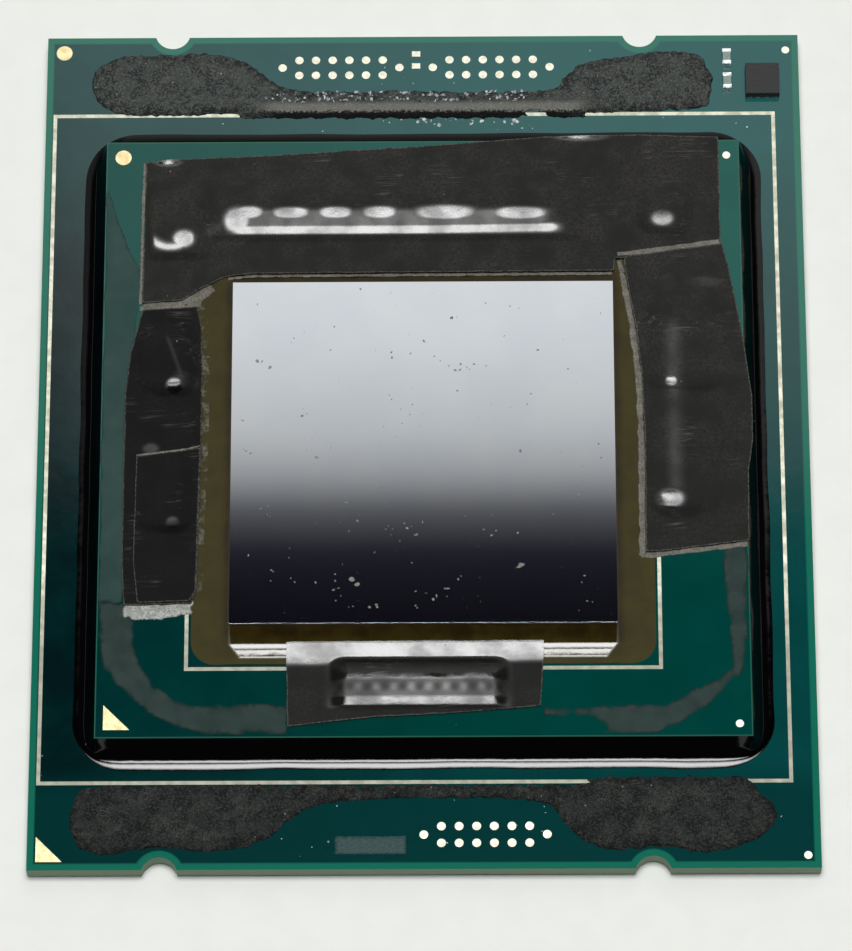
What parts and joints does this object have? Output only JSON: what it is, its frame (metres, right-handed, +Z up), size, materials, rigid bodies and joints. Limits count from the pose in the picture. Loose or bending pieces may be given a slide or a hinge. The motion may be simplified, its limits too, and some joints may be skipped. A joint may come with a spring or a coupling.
{
  "type": "computer processor package without lid",
  "caption": "Bare processor package: mirror-like silicon die on a green carrier board with taped capacitors, soldered to a larger land-grid board with key notches.",
  "frame": {"origin": "on the surface that the part rests on, under the middle of the package board", "axes": "+Z up out of the die's face, +Y along the package board's length to the rear edge with the identity chip, +X to the right"},
  "size_m": [0.045, 0.0524, 0.0033],
  "materials": {
    "package_mask": "dark blue-green solder mask, satin",
    "carrier_mask": "dark green solder mask, satin",
    "gold": "pale gold plating",
    "silicon": "polished bare silicon with specks and scratches",
    "amber_underfill": "glossy dark amber resin",
    "black_underfill": "glossy black resin",
    "sealant": "torn matte rubber",
    "tape": "black tape, satin, scuffed",
    "ceramic": "fired ceramic",
    "solder": "dull tin",
    "chip_case": "moulded black resin"
  },
  "bodies": {
    "root": {"package_board": "package_mask", "lid_line": "gold", "rear_test_pads": "gold", "front_test_pads": "gold", "board_dots": "gold", "board_triangle": "gold", "rear_sealant": "sealant", "front_sealant": "sealant", "solder_balls": "solder", "carrier_underfill": "black_underfill", "carrier_board": "carrier_mask", "carrier_dots": "gold", "carrier_triangle": "gold", "die_line": "gold", "die_underfill": "amber_underfill", "silicon_die": "silicon", "rear_capacitors": "ceramic", "rear_capacitor_ends": "solder", "left_capacitors": "ceramic", "left_capacitor_ends": "solder", "right_capacitors": "ceramic", "right_capacitor_ends": "solder", "front_capacitors": "ceramic", "front_capacitor_ends": "solder", "rear_tape": "tape", "right_tape": "tape", "left_lower_tape": "tape", "left_upper_tape": "tape", "front_tape": "tape", "identity_chip": "chip_case", "identity_chip_leads": "solder", "identity_capacitors": "ceramic", "identity_capacitor_ends": "solder", "rear_lands": "gold", "front_lands": "gold", "left_lands": "gold", "right_lands": "gold", "land_side_capacitors": "ceramic", "land_side_capacitor_ends": "solder"}
  },
  "joints": []
}
